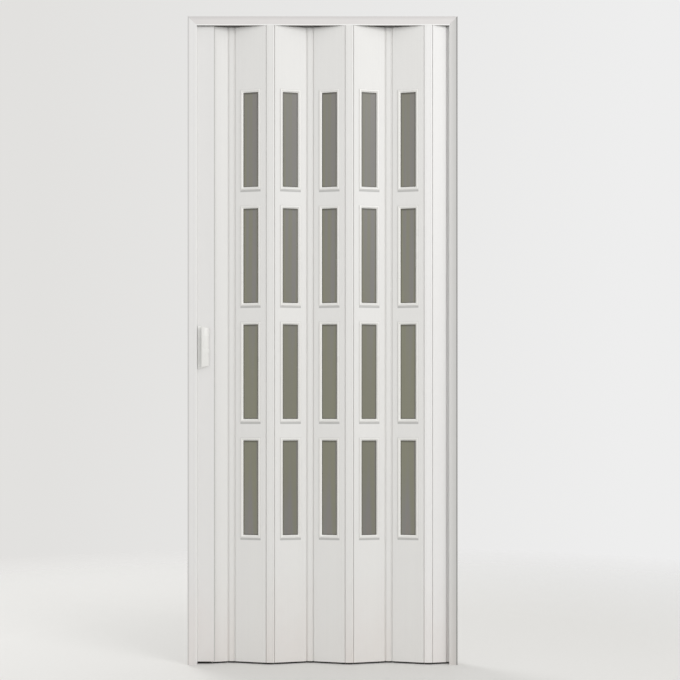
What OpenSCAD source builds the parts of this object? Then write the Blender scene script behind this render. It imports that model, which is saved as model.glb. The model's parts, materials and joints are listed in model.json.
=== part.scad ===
// Folding door with glazed leaves, hung in a three-sided wall frame and shown closed.
// X runs along the doorway to the right, Y points to the back and Z is up.
// The origin is on the floor, at the middle of the frame and in the plane of the track.
// Every link keeps its direction while the door folds, and every leaf turns by the same angle.

/* [Frame] */
// Overall width of the frame
frame_w = 853; // [790:1:1000]
// Overall height of the frame above the floor
frame_h = 2050; // [1950:1:2300]
// Depth of the frame, front to back, along its outer edge
frame_d = 46; // [44:1:60]
// How far the frame's sloped faces fall back towards the opening
face_fall = 5.5; // [3:0.5:6]
// Wall of the frame's profiles
frame_wall = 1.8; // [1.4:0.1:2.2]
// Height of the head track
track_h = 26; // [24:1:32]
// Width of the strike jamb, which the closing post enters
strike_w = 28.8; // [26:0.1:32]
// Width of the fixing jamb, which the leaves hang beside
fixing_w = 25.5; // [24:0.1:30]
// Radius of the bead along the frame's inner edge
bead_r = 1.2; // [1:0.1:1.4]
// Gap between the frame's profiles where they meet in a mitre
mitre_gap = 0.2; // [0.1:0.1:0.5]
// Radius of the frame's screw holes
screw_hole_r = 2.25; // [1.75:0.25:2.5]
// Distance between the track's screw holes
track_screw_pitch = 240; // [180:10:250]
// Distance between a jamb's screw holes
jamb_screw_pitch = 580; // [450:10:620]
// Thickness of the brackets inside the frame's corners
bracket_t = 3; // [2:0.5:4]
// Width of the corner brackets
bracket_w = 20; // [14:1:24]
// Length of each arm of a corner bracket
bracket_l = 22; // [16:1:24]

/* [Runway] */
// Height of the runway above the track's lower edge
runway_up = 6; // [5:0.5:7]
// Thickness of the two strips that make the runway
runway_t = 1.8; // [1.4:0.1:2.2]
// Gap round a strip in the groove that holds it
seat_gap = 0.05; // [0.02:0.01:0.1]
// Width of the slot along the runway
slot_w = 9; // [8:0.5:11]
// Clearance of a glider above the runway
glider_gap = 0.3; // [0.2:0.05:0.5]
// Clearance of a glider on each side of the slot
slot_gap = 0.5; // [0.3:0.1:0.8]
// Length of a glider along the track
glider_l = 18; // [14:1:22]
// Width of a glider across the track
glider_w = 20; // [16:1:24]
// Thickness of a glider's sole
glider_t = 5; // [4:0.5:6]
// Length of the glider's guide in the slot
guide_l = 14; // [10:1:16]

/* [Leaves] */
// Angle between a leaf and the doorway when the door is closed
rest_angle = 13.84; // [12:0.01:16]
// Distance between the two pivots of a link
link_span = 17.2; // [16.6:0.1:24]
// Thickness of a leaf
leaf_t = 9; // [8:0.5:10]
// Wall of the hollow leaves
leaf_wall = 1; // [0.8:0.1:1.3]
// Thickness of the webs inside a leaf
web_t = 1; // [0.8:0.1:1.2]
// Distance between the two webs at each side of a leaf
web_pitch = 10; // [7:1:14]
// Chamfer along a leaf's corners
leaf_chamfer = 0.8; // [0.5:0.1:1]
// Gap between the leaves' tops and the track
top_gap = 1; // [0.8:0.1:3]
// Gap between the leaves' lower ends and the floor
floor_gap = 6; // [4:0.5:12]
// Angle between a leaf and the doorway when the door is folded up
fold_angle = 85; // [70:1:86]

/* [Hinges] */
// Radius of the bulb along a leaf's edge
bulb_r = 3; // [2.6:0.1:3.3]
// Running clearance of a bulb in its claw
bulb_gap = 0.08; // [0.05:0.01:0.1]
// Wall of the claw round a bulb
claw_wall = 1.5; // [1.2:0.1:1.6]
// Thickness of the neck between a bulb and its leaf
neck_t = 1.6; // [1.2:0.1:2]
// Angle that a claw's mouth leaves free beyond the neck, on each side
mouth_spare = 7; // [5:1:9]
// Gap between a claw and the leaf that turns on it
claw_room = 0.42; // [0.35:0.01:1]
// How far the claws stand proud of a link's faces
claw_proud = 0.1; // [0.05:0.05:0.3]
// Wall of the hollow between a link's claws
link_wall = 1.3; // [1:0.1:1.6]
// Half the width of that hollow
link_hollow = 4.2; // [3:0.1:4.6]
// Depth of the shading grooves in a link's faces
groove_depth = 0.4; // [0.2:0.1:0.6]
// Width of those grooves
groove_w = 1; // [0.6:0.1:1.4]
// Distance of those grooves from the link's middle
groove_out = 6.2; // [5.5:0.1:6.5]

/* [Windows] */
// Width of glass that shows in a window
window_w = 48.6; // [40:0.1:50]
// Height of the lowest glass edge above the floor
window_sill = 409; // [340:1:480]
// Distance of the highest glass edge below the frame's top
window_drop = 235.5; // [200:0.5:280]
// Distance between the glass of one window and the next
window_gap = 68.5; // [50:0.5:90]
// Width of a window's bezel round the glass
bezel_w = 8.7; // [8:0.1:11]
// How far a bezel stands out from the leaf
bezel_rise = 2.5; // [1.5:0.1:3]
// Radius along a bezel's outer edge
bezel_round = 1.5; // [0.8:0.1:1.5]
// Width of the bezel's slope down to the glass
slope_w = 4; // [2.5:0.1:4.2]
// Height of the upright step between that slope and the glass
step_h = 0.9; // [0.5:0.1:1.2]
// Width of the bezel's sleeve, which lines the hole in the leaf
sleeve_w = 4.3; // [4.2:0.1:5]
// Gap between the sleeve and the hole in the leaf
sleeve_gap = 0.2; // [0.1:0.05:0.4]
// Thickness of a pane
pane_t = 2; // [1.5:0.1:2.5]
// How far a pane reaches behind its bezel
pane_bite = 3; // [2:0.1:3]
// Gap round a pane in its bezels
pane_gap = 0.1; // [0.05:0.01:0.15]

/* [Post] */
// Distance between the post's closing edge and its pivot
post_w = 65.5; // [62:0.5:70]
// Thickness of the post
post_t = 14; // [13:0.5:16]
// Wall of the post
post_wall = 1.5; // [1.2:0.1:2]
// Thickness of the solid edge that holds the magnet
post_edge = 4.5; // [4:0.1:5]
// Distance between the two webs inside the post
post_web_pitch = 39; // [36:1:40]
// How far the post's front wall covers the hinge beyond the pivot
cover_reach = 8.4; // [7:0.1:11]
// Gap between the post and the corner of the leaf that turns on it
swing_gap = 0.6; // [0.4:0.1:1]
// Gap between the post's lower end and the floor
post_floor_gap = 8; // [6:0.5:14]
// Chamfer along the post's corners
post_chamfer = 1; // [0.5:0.1:1.4]
// Distance of the outer shading groove from the pivot, on the post's face
post_groove = 5.4; // [4:0.1:6]
// Width of the magnet strip
magnet_w = 8; // [6:0.5:9]
// Depth of the magnet strip in the post
magnet_in = 3; // [2:0.1:3.4]
// How far the magnet strip stands out of the post
magnet_out = 3; // [2:0.1:4]
// Gap between the magnet strip and the keeper when the door is closed
magnet_gap = 0.3; // [0.2:0.1:0.6]
// Width of the keeper strip in the strike jamb
keeper_w = 12; // [10:1:16]
// Thickness of the keeper strip
keeper_t = 3; // [2:0.1:4]

/* [Fixing side] */
// Distance of the fixed pivot from the fixing jamb's inner edge
pivot_set = 3.9; // [3.8:0.1:6]
// Distance between the fixed pivot and the body of its half leaf
fixed_inset = 5.2; // [5.1:0.1:9]
// Thickness of the fixing strip's flange
flange_t = 3; // [2.4:0.1:4]
// Width of that flange
flange_w = 26; // [25:1:28]
// Distance between the two rows of screw holes in the flange
flange_rows = 18; // [17:0.5:19]
// Wall of the fixing strip's hollow stem
stem_wall = 1.4; // [1.2:0.1:1.6]

/* [Handles] */
// Height of a handle
handle_h = 138; // [120:1:180]
// Width of a handle
handle_w = 36; // [34:0.5:36]
// How far a handle stands out from the post
handle_rise = 16; // [13:0.5:20]
// Wall of a handle
handle_wall = 2.5; // [2:0.1:3]
// Thickness of a handle's base
handle_base = 1.5; // [1.2:0.1:2]
// Distance of the hood's lip from the handle's closing edge
lip_set = 14; // [12:0.5:16]
// How much shorter the hood's far side is, at each end
hood_slant = 10; // [2:0.5:14]
// Height of the hood's far side above the post
hood_far = 8; // [6:0.5:10]
// Height of the handle's middle above the floor
handle_z = 1005; // [900:1:1100]
// Distance of the handle from the strike jamb when the door is closed
handle_set = 1.1; // [0.8:0.1:2]
// Radius of the handles' screws
screw_r = 1.9; // [1.5:0.1:2]
// Distance between the handles' two screws
screw_pitch = 100; // [80:1:110]
// Distance of the screws from the handle's closing edge
screw_set = 7; // [6:0.5:8]
// Radius of a screw's head
screw_head_r = 3.6; // [3:0.1:4]
// Height of a screw's head
screw_head_h = 2.2; // [1.6:0.1:2.6]
// Radius of the front handle's spigots
spigot_r = 3.5; // [3:0.1:4]
// Length of the spigots inside the post
spigot_l = 10; // [8:0.5:11]
// Clearance of a screw or a spigot in its hole
hole_gap = 0.1; // [0.05:0.05:0.2]

/* [Hangers] */
// Radius of the pin that a glider turns on
pin_r = 2; // [1.6:0.1:2.4]
// Running clearance of the pin in its glider
pin_gap = 0.08; // [0.05:0.01:0.1]
// Radius of the pin's head
pin_head_r = 3.4; // [3:0.1:4]
// Height of the pin's head
pin_head_h = 1.6; // [1.2:0.1:2]
// Gap between the pin's head and the glider
pin_head_gap = 0.2; // [0.1:0.05:0.4]
// Height of the plug in a leaf's top
plug_h = 20; // [15:1:30]
// Gap round a plug in its chamber
plug_gap = 0.1; // [0.05:0.05:0.2]
// Radius of the neck between the post's plug and each of its gliders
post_neck_r = 3; // [2.5:0.1:3.5]
// Distance between the post's two gliders
post_glider_pitch = 20; // [19.5:0.5:24]

/* [Hidden] */
$fn = 48;
folds = 6;
leaves = folds - 1;
windows = 4;
over = 1;

white = [0.90, 0.90, 0.89];
shade_white = [0.86, 0.86, 0.85];
bezel_white = [0.94, 0.94, 0.93];
pane_grey = [0.50, 0.49, 0.46, 0.85];
nylon = [0.85, 0.85, 0.82];
steel = [0.62, 0.63, 0.65];
magnet_brown = [0.25, 0.24, 0.23];

// The frame's inner edges and the heights that follow from them
half_w = frame_w / 2;
strike_edge = -half_w + strike_w;
fixing_edge = half_w - fixing_w;
track_low = frame_h - track_h;
leaf_top = track_low - top_gap;
jamb_mid = frame_h / 2;

// The plane of pivots: where the door is fixed, and where the closing post stands when shut
fixed_x = fixing_edge - pivot_set;
post_edge_x = -half_w + frame_wall + keeper_t + magnet_gap + magnet_out;
post_x = post_edge_x + post_w;
pitch = (fixed_x - post_x) / folds;
leaf_span = (pitch - link_span) / cos(rest_angle);
rest_depth = leaf_span / 2 * sin(rest_angle);

// Hinge sizes that follow from the bulb
bore_r = bulb_r + bulb_gap;
claw_r = bore_r + claw_wall;
link_half = claw_r - claw_proud;
body_inset = claw_r + claw_room;
mouth_half = asin(neck_t / 2 / bore_r) + mouth_spare;
mouth_from = rest_angle - mouth_half;
mouth_to = fold_angle + mouth_half;
swing_r = norm([body_inset, leaf_t / 2]);
post_box_end = swing_r + swing_gap;

// The windows share the height between the lowest and the highest glass edge
window_h = (frame_h - window_drop - window_sill - (windows - 1) * window_gap) / windows;
window_pitch = window_h + window_gap;
window_low = window_sill + window_h / 2;

// Sizes of a window, from the glass outwards
hole_w = window_w + 2 * (sleeve_w + sleeve_gap);
hole_h = window_h + 2 * (sleeve_w + sleeve_gap);
near_web = hole_w / 2 + web_t;
far_web = near_web + web_pitch;

// Heights along the track
runway_z = track_low + runway_up;
sole_z = runway_z + runway_t + glider_gap;
guide_w = slot_w - 2 * slot_gap;
pin_top = sole_z + glider_t + pin_head_gap;

// Places on the post, measured from its pivot
post_mid = -(post_w - post_edge + post_box_end) / 2;
handle_x = strike_edge + handle_set - post_x;
stem_l = half_w - frame_wall - fixed_x;

// Places along the folded chain
function is_odd(n) = n % 2 == 1;
function link_x(i) = post_x + (i - 0.5) * pitch;
function leaf_x(k) = post_x + k * pitch;

// Outline of a flat bar with chamfered corners, from a to b along X
function bar(a, b, t, c) = [
    [a + c, -t / 2], [b - c, -t / 2], [b, -t / 2 + c], [b, t / 2 - c],
    [b - c, t / 2], [a + c, t / 2], [a, t / 2 - c], [a, -t / 2 + c]
];

// Points of an arc
function arc(x, y, r, from, to, steps) = [
    for (i = [0:steps]) let (a = from + (to - from) * i / steps) [x + r * cos(a), y + r * sin(a)]
];

// Stands a flat profile up between two heights
module upright(from, to) {
    translate([0, 0, from]) linear_extrude(height = to - from) children();
}

// Cuts along Y through the whole frame, with an outline drawn in the front view
module through(depth) {
    rotate([90, 0, 0]) linear_extrude(height = depth, center = true) children();
}

// A frame profile: X is the distance from the frame's outer face, Y the door's own Y
module channel_profile(w) {
    outer = frame_d / 2;
    inner = outer - face_fall;
    translate([0, -outer + frame_wall / 2]) square([frame_wall, frame_d - frame_wall]);
    for (side = [0, 1]) {
        mirror([0, side]) {
            polygon([[0, -outer], [w - bead_r, -inner], [w - bead_r, -inner + frame_wall],
                     [0, -outer + frame_wall]]);
            translate([w - bead_r, -inner + frame_wall / 2]) circle(bead_r);
        }
    }
}

// The strip at the back that the gliders run on: its far edge lies in a groove of the track's wall
module runway_profile(gap) {
    p = frame_h - runway_z - runway_t;
    wall_mid = frame_d / 2 - face_fall * p / track_h - frame_wall / 2;
    translate([p - gap, slot_w / 2]) square([runway_t + 2 * gap, wall_mid - slot_w / 2 + gap]);
}

// The track's outline in the front view, cut to mitres at both ends
module track_outline() {
    polygon([
        [-half_w + mitre_gap, frame_h], [half_w - mitre_gap, frame_h],
        [fixing_edge - mitre_gap, track_low], [strike_edge + mitre_gap, track_low]
    ]);
}

// Lays a profile along the head of the frame and cuts its ends to the mitres
module along_head() {
    intersection() {
        translate([-half_w, 0, frame_h]) rotate([0, 90, 0]) linear_extrude(height = frame_w) children();
        through(frame_d + 2 * over) track_outline();
    }
}

module runway_rear() {
    color(steel) along_head() runway_profile(0);
}

module runway_front() {
    mirror([0, 1, 0]) runway_rear();
}

module head_track() {
    color(shade_white) difference() {
        along_head() difference() {
            channel_profile(track_h);
            for (side = [0, 1]) {
                mirror([0, side]) runway_profile(seat_gap);
            }
        }
        for (n = [-1.5, -0.5, 0.5, 1.5]) {
            translate([n * track_screw_pitch, 0, frame_h - frame_wall - over]) {
                cylinder(r = screw_hole_r, h = frame_wall + 2 * over);
            }
        }
    }
}

// A jamb on the left, w wide, with its top cut to the mitre
module jamb(w) {
    intersection() {
        translate([-half_w, 0]) upright(0, frame_h) channel_profile(w);
        through(frame_d + 2 * over) polygon([
            [-half_w - over, -over], [-half_w + w + over, -over],
            [-half_w + w + over, track_low - over * track_h / w],
            [-half_w - over, frame_h + over * track_h / w]
        ]);
    }
}

// Screw holes through a jamb's web, in rows at the given Y
module jamb_holes(x, depth, rows) {
    for (n = [-1.5, -0.5, 0.5, 1.5], y = rows) {
        translate([x, y, jamb_mid + n * jamb_screw_pitch]) rotate([0, 90, 0]) {
            cylinder(r = screw_hole_r, h = depth);
        }
    }
}

module strike_jamb() {
    color(white) difference() {
        jamb(strike_w);
        jamb_holes(-half_w - over, frame_wall + 2 * over, [0]);
    }
}

module keeper_strip() {
    x = -half_w + frame_wall;
    color(steel) difference() {
        translate([x, -keeper_w / 2, post_floor_gap]) cube([keeper_t, keeper_w, leaf_top - post_floor_gap]);
        jamb_holes(x - over, keeper_t + 2 * over, [0]);
    }
}

module fixing_jamb() {
    color(shade_white) difference() {
        mirror([1, 0, 0]) jamb(fixing_w);
        jamb_holes(half_w - frame_wall - over, frame_wall + 2 * over, [-flange_rows / 2, flange_rows / 2]);
    }
}

// An angle inside the mitred corner, on the left
module corner_bracket() {
    x = -half_w + frame_wall;
    z = frame_h - frame_wall;
    color(steel) translate([0, -bracket_w / 2, 0]) {
        translate([x, 0, z - bracket_t]) cube([bracket_l, bracket_w, bracket_t]);
        translate([x, 0, z - bracket_l]) cube([bracket_t, bracket_w, bracket_l]);
    }
}

// The hole for a bulb and the mouth for its neck, opening along +X and folding towards +Y
module claw_opening() {
    reach = 3 * claw_r;
    circle(bore_r);
    polygon(concat([[0, 0]], arc(0, 0, reach, mouth_from, mouth_to, 2)));
}

// The strip that is screwed into the fixing jamb and holds the last bulb
module fixing_strip() {
    stem_half = claw_r - claw_proud;
    color(white) difference() {
        translate([fixed_x, 0]) upright(floor_gap, leaf_top) difference() {
            union() {
                circle(claw_r);
                translate([0, -stem_half]) square([stem_l - flange_t / 2, 2 * stem_half]);
                translate([stem_l - flange_t, -flange_w / 2]) square([flange_t, flange_w]);
            }
            translate([claw_r, -stem_half + stem_wall]) {
                square([stem_l - flange_t - claw_r, 2 * (stem_half - stem_wall)]);
            }
            rotate(180) claw_opening();
        }
        jamb_holes(half_w - frame_wall - flange_t - over, flange_t + 2 * over,
                   [-flange_rows / 2, flange_rows / 2]);
    }
}

// A link with its claws at both ends, folding towards +Y
module link_profile() {
    difference() {
        union() {
            square([link_span, 2 * link_half], center = true);
            for (side = [-1, 1]) {
                translate([side * link_span / 2, 0]) circle(claw_r);
            }
        }
        square([2 * link_hollow, 2 * (link_half - link_wall)], center = true);
        translate([link_span / 2, 0]) claw_opening();
        mirror([1, 0]) translate([link_span / 2, 0]) claw_opening();
        for (side = [-1, 1], face = [-1, 1]) {
            translate([side * groove_out, face * link_half]) {
                square([groove_w, 2 * groove_depth], center = true);
            }
        }
    }
}

// Odd links lie at the back and fold forwards, even ones the other way round
module link(i) {
    color(white) translate([link_x(i), is_odd(i) ? rest_depth : -rest_depth, 0]) {
        rotate(is_odd(i) ? 180 : 0) upright(floor_gap, leaf_top) link_profile();
    }
}

// A hollow leaf between two bulbs: body is its from and to, and stops are its webs
module leaf_profile(bulbs, body, stops) {
    walls = concat([body[0] + leaf_wall - web_t / 2], stops, [body[1] - leaf_wall + web_t / 2]);
    difference() {
        union() {
            polygon(bar(body[0], body[1], leaf_t, leaf_chamfer));
            translate([bulbs[0], -neck_t / 2]) square([bulbs[1] - bulbs[0], neck_t]);
            for (x = bulbs) translate([x, 0]) circle(bulb_r);
        }
        for (n = [0:len(walls) - 2]) {
            translate([walls[n] + web_t / 2, -leaf_t / 2 + leaf_wall]) {
                square([walls[n + 1] - walls[n] - web_t, leaf_t - 2 * leaf_wall]);
            }
        }
    }
}

// Puts what belongs to leaf k in its place, turned to the rest angle
module at_leaf(k) {
    translate([leaf_x(k), 0, 0]) rotate(is_odd(k) ? -rest_angle : rest_angle) children();
}

module at_windows() {
    for (n = [0:windows - 1]) {
        translate([0, 0, window_low + n * window_pitch]) children();
    }
}

module leaf_shell(k) {
    end = leaf_span / 2;
    body = end - body_inset;
    webs = [-far_web, -near_web, near_web, far_web];
    color(white) at_leaf(k) difference() {
        upright(floor_gap, leaf_top) leaf_profile([-end, end], [-body, body], webs);
        at_windows() cube([hole_w, leaf_t + 2 * over, hole_h], center = true);
    }
}

// Two flat outlines crossed at right angles, so that their slopes meet in mitres
module crossed(w, h) {
    intersection() {
        linear_extrude(height = h, center = true) children(0);
        rotate([0, -90, 0]) linear_extrude(height = w, center = true) children(1);
    }
}

// Outline of the bezel's outside, above the leaf's face, for a window of the given size
module bezel_outside(size) {
    out = size / 2 + bezel_w;
    face = leaf_t / 2;
    top = face + bezel_rise;
    right = arc(out - bezel_round, top - bezel_round, bezel_round, 0, 90, 4);
    left = arc(-out + bezel_round, top - bezel_round, bezel_round, 90, 180, 4);
    polygon(concat([[out, face]], right, left, [[-out, face]]));
}

// Outline of the bezel's opening, from the glass out to its crest
module bezel_opening(size) {
    glass = pane_t / 2;
    low = glass + pane_gap + step_h;
    top = leaf_t / 2 + bezel_rise;
    flare = slope_w * over / (top - low);
    polygon([
        [size / 2, glass], [size / 2, low], [size / 2 + slope_w + flare, top + over],
        [-size / 2 - slope_w - flare, top + over], [-size / 2, low], [-size / 2, glass]
    ]);
}

// One half of a window's frame, standing out towards +Y
module bezel() {
    seat_w = window_w + 2 * (pane_bite + pane_gap);
    seat_h = window_h + 2 * (pane_bite + pane_gap);
    seat_y = pane_t / 2 + pane_gap;
    out_w = window_w + 2 * bezel_w;
    out_h = window_h + 2 * bezel_w;
    difference() {
        union() {
            crossed(out_w, out_h) {
                bezel_outside(window_w);
                bezel_outside(window_h);
            }
            translate([-window_w / 2 - sleeve_w, 0, -window_h / 2 - sleeve_w]) {
                cube([window_w + 2 * sleeve_w, leaf_t / 2 + bezel_rise / 2, window_h + 2 * sleeve_w]);
            }
        }
        crossed(out_w, out_h) {
            bezel_opening(window_w);
            bezel_opening(window_h);
        }
        translate([-seat_w / 2, -over, -seat_h / 2]) cube([seat_w, seat_y + over, seat_h]);
    }
}

module leaf_bezels_rear(k) {
    color(bezel_white) at_leaf(k) at_windows() bezel();
}

module leaf_bezels_front(k) {
    color(bezel_white) at_leaf(k) at_windows() mirror([0, 1, 0]) bezel();
}

module leaf_panes(k) {
    color(pane_grey) at_leaf(k) at_windows() {
        cube([window_w + 2 * pane_bite, pane_t, window_h + 2 * pane_bite], center = true);
    }
}

// The plug in a leaf's top, with the pin that its glider turns on
module leaf_hanger(k) {
    w = 2 * (near_web - web_t / 2 - plug_gap);
    t = leaf_t - 2 * (leaf_wall + plug_gap);
    color(nylon) at_leaf(k) {
        translate([-w / 2, -t / 2, leaf_top - plug_h]) cube([w, t, plug_h]);
        translate([0, 0, leaf_top - over]) cylinder(r = pin_r, h = pin_top - leaf_top + 2 * over);
        translate([0, 0, pin_top]) cylinder(r = pin_head_r, h = pin_head_h);
    }
}

// A glider: its sole lies over the runway, and its guide runs in the slot
module glider_block() {
    translate([-glider_l / 2, -glider_w / 2, sole_z]) cube([glider_l, glider_w, glider_t]);
    translate([-guide_l / 2, -guide_w / 2, runway_z]) cube([guide_l, guide_w, sole_z - runway_z + over]);
}

module glider(k) {
    color(nylon) difference() {
        translate([leaf_x(k), 0, 0]) glider_block();
        translate([leaf_x(k), 0, runway_z - over]) {
            cylinder(r = pin_r + pin_gap, h = pin_top - runway_z + over);
        }
    }
}

// The half leaf that turns on the post and folds to the back
module half_leaf_closing() {
    end = leaf_span / 2;
    color(white) translate([post_x, 0, 0]) rotate(rest_angle) upright(floor_gap, leaf_top) {
        leaf_profile([0, end], [body_inset, end - body_inset], [end / 2]);
    }
}

// The half leaf that turns on the fixing strip and folds to the front
module half_leaf_fixing() {
    end = leaf_span / 2;
    color(white) translate([fixed_x, 0, 0]) rotate(rest_angle) upright(floor_gap, leaf_top) {
        leaf_profile([-end, 0], [-end + body_inset, -fixed_inset], [-end / 2]);
    }
}

// The closing post's outline, with its pivot at the origin
module post_profile() {
    face = post_t / 2;
    inner = face - post_wall;
    webs = [-post_w + post_edge - web_t / 2, post_mid - post_web_pitch / 2, post_mid + post_web_pitch / 2,
            -post_box_end - post_wall + web_t / 2];
    difference() {
        union() {
            polygon([
                [-post_w + post_chamfer, -face], [cover_reach, -face], [cover_reach, -inner],
                [0, -inner], [0, 0], [-bore_r, bulb_r], [-post_box_end, bulb_r],
                [-post_box_end, face - post_chamfer], [-post_box_end - post_chamfer, face],
                [-post_w + post_chamfer, face], [-post_w, face - post_chamfer],
                [-post_w, -face + post_chamfer]
            ]);
            circle(claw_r);
        }
        for (n = [0:len(webs) - 2]) {
            translate([webs[n] + web_t / 2, -inner]) square([webs[n + 1] - webs[n] - web_t, 2 * inner]);
        }
        translate([-post_w - over, -magnet_w / 2 - plug_gap]) {
            square([magnet_in + over, magnet_w + 2 * plug_gap]);
        }
        translate([-post_groove, -face]) square([groove_w, 2 * groove_depth], center = true);
        claw_opening();
    }
}

// Puts what is screwed to the post at the handle's closing edge, on the post's front face
module at_handle() {
    translate([post_x + handle_x, -post_t / 2, handle_z]) children();
}

module at_screws() {
    for (side = [-1, 1]) {
        translate([screw_set, 0, side * screw_pitch / 2]) children();
    }
}

module closing_post() {
    color(white) difference() {
        translate([post_x, 0]) upright(post_floor_gap, leaf_top) post_profile();
        at_handle() at_screws() {
            translate([0, post_wall + over, 0]) rotate([90, 0, 0]) {
                cylinder(r = spigot_r + hole_gap, h = post_wall + 2 * over);
            }
            translate([0, post_t + over, 0]) rotate([90, 0, 0]) {
                cylinder(r = screw_r + hole_gap, h = post_wall + 2 * over);
            }
        }
    }
}

module magnet_strip() {
    color(magnet_brown) translate([post_edge_x - magnet_out, -magnet_w / 2, post_floor_gap]) {
        cube([magnet_out + magnet_in, magnet_w, leaf_top - post_floor_gap]);
    }
}

// The plug in the post's top, with two gliders on it that never turn
module post_hanger() {
    w = post_web_pitch - web_t - 2 * plug_gap;
    t = post_t - 2 * (post_wall + plug_gap);
    color(nylon) translate([post_x + post_mid, 0, 0]) {
        translate([-w / 2, -t / 2, leaf_top - plug_h]) cube([w, t, plug_h]);
        for (side = [-1, 1]) {
            translate([side * post_glider_pitch / 2, 0, 0]) {
                glider_block();
                translate([0, 0, leaf_top - over]) {
                    cylinder(r = post_neck_r, h = runway_z - leaf_top + 2 * over);
                }
            }
        }
    }
}

// The handle's outline in the front view: its far side is shorter
module handle_outline(inset) {
    slope = hood_slant / handle_w * over;
    near = handle_h / 2 - inset + slope;
    far = handle_h / 2 - inset - hood_slant - slope;
    polygon([[-over, near], [-over, -near], [handle_w + over, -far], [handle_w + over, far]]);
}

// Round profile of the hood, seen from above: its lip faces the closing edge, and its far side is upright
module hood_profile(inset) {
    across = handle_w - lip_set;
    up = handle_rise - hood_far;
    r = (across * across + up * up) / (2 * up);
    from = inset > 0 ? -over : lip_set;
    to = handle_w - inset;
    intersection() {
        translate([lip_set, handle_rise - r]) circle(r - inset, $fn = 96);
        translate([from, handle_base]) square([to - from, handle_rise]);
    }
}

// A pull with a finger gap under its hood: it stands out towards -Y
module handle_shell() {
    mirror([0, 1, 0]) {
        intersection() {
            translate([0, 0, -handle_h / 2]) cube([handle_w, handle_base, handle_h]);
            through(handle_rise * 3) handle_outline(0);
        }
        difference() {
            intersection() {
                linear_extrude(height = handle_h, center = true) hood_profile(0);
                through(handle_rise * 3) handle_outline(0);
            }
            intersection() {
                linear_extrude(height = handle_h, center = true) hood_profile(handle_wall);
                through(handle_rise * 3) handle_outline(handle_wall);
            }
        }
    }
}

// The front handle has spigots that take the screws inside the post
module handle_front() {
    color(bezel_white) at_handle() difference() {
        union() {
            handle_shell();
            at_screws() translate([0, spigot_l, 0]) rotate([90, 0, 0]) {
                cylinder(r = spigot_r, h = spigot_l + handle_base / 2);
            }
        }
        at_screws() translate([0, spigot_l + over, 0]) rotate([90, 0, 0]) {
            cylinder(r = screw_r + hole_gap / 2, h = spigot_l + over);
        }
    }
}

module handle_rear() {
    color(bezel_white) translate([0, post_t, 0]) at_handle() difference() {
        mirror([0, 1, 0]) handle_shell();
        at_screws() translate([0, handle_base + over, 0]) rotate([90, 0, 0]) {
            cylinder(r = screw_r + hole_gap, h = handle_base + 2 * over);
        }
    }
}

module handle_screws() {
    seat = post_t + handle_base;
    color(steel) at_handle() at_screws() {
        translate([0, seat + screw_head_h, 0]) rotate([90, 0, 0]) {
            cylinder(r = screw_head_r, h = screw_head_h);
        }
        translate([0, seat + over, 0]) rotate([90, 0, 0]) {
            cylinder(r = screw_r, h = seat - post_t + spigot_l - screw_head_h + over);
        }
    }
}

head_track();
runway_front();
runway_rear();
strike_jamb();
fixing_jamb();
fixing_strip();
keeper_strip();
corner_bracket();  // corner_bracket_left
mirror([1, 0, 0]) corner_bracket();  // corner_bracket_right
closing_post();
post_hanger();
magnet_strip();
handle_front();
handle_rear();
handle_screws();
half_leaf_closing();
half_leaf_fixing();
for (i = [1:folds]) {
    link(i);
}
for (k = [1:leaves]) {
    leaf_shell(k);
    leaf_bezels_front(k);
    leaf_bezels_rear(k);
    leaf_panes(k);
    leaf_hanger(k);
    glider(k);
}
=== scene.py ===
# %% [markdown]
# # Dressing a glazed folding door
#
# The imported model holds the working door: a wall frame, a track, hollow leaves on bulb hinges, windows and
# handles, each at its real size. This lesson gives every part its finish, models the small things that only
# the eye needs, and lights the door softly, as a studio would.
#
# They are never moved here, because their places carry the door's motion.

# %% Bring in the working door
import json
from math import asin, atan2, degrees, pi

import bmesh
import bpy
from mathutils import Matrix, Vector


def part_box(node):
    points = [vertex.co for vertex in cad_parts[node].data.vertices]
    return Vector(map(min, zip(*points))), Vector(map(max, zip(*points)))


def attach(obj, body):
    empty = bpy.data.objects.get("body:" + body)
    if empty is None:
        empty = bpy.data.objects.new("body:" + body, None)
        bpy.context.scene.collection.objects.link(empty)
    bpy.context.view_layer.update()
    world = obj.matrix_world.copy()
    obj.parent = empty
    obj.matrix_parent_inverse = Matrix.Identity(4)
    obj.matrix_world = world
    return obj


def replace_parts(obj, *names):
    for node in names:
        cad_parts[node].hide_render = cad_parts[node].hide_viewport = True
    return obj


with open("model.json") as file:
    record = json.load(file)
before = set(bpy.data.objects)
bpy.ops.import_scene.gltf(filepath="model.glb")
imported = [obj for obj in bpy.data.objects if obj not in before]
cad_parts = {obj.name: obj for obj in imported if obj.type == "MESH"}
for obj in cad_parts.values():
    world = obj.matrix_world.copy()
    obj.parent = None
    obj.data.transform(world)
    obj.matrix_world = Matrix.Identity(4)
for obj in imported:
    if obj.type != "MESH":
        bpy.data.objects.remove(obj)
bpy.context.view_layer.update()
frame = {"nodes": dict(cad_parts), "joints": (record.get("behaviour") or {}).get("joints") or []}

# %% [markdown]
# ## Sizes
#
# Most places come from the parts themselves. The pivots of the hinges give the line of every leaf: a leaf
# runs from the link on its left to the link on its right, so its middle and its turn follow from two
# points. The windows' sizes are the door's own, and are repeated here in metres.

# %% Read the leaves' lines from the pivots
MM = 0.001
LEAVES = 5
WINDOWS = 4
WINDOW_W = 48.6 * MM
WINDOW_H = 300 * MM
WINDOW_PITCH = 368.5 * MM
WINDOW_LOW = 559 * MM
PANE_T = 2 * MM
BEZEL_W = 8.7 * MM

pivots = {joint["name"]: Vector(joint["pos_m"]) for joint in frame["joints"]}


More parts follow.
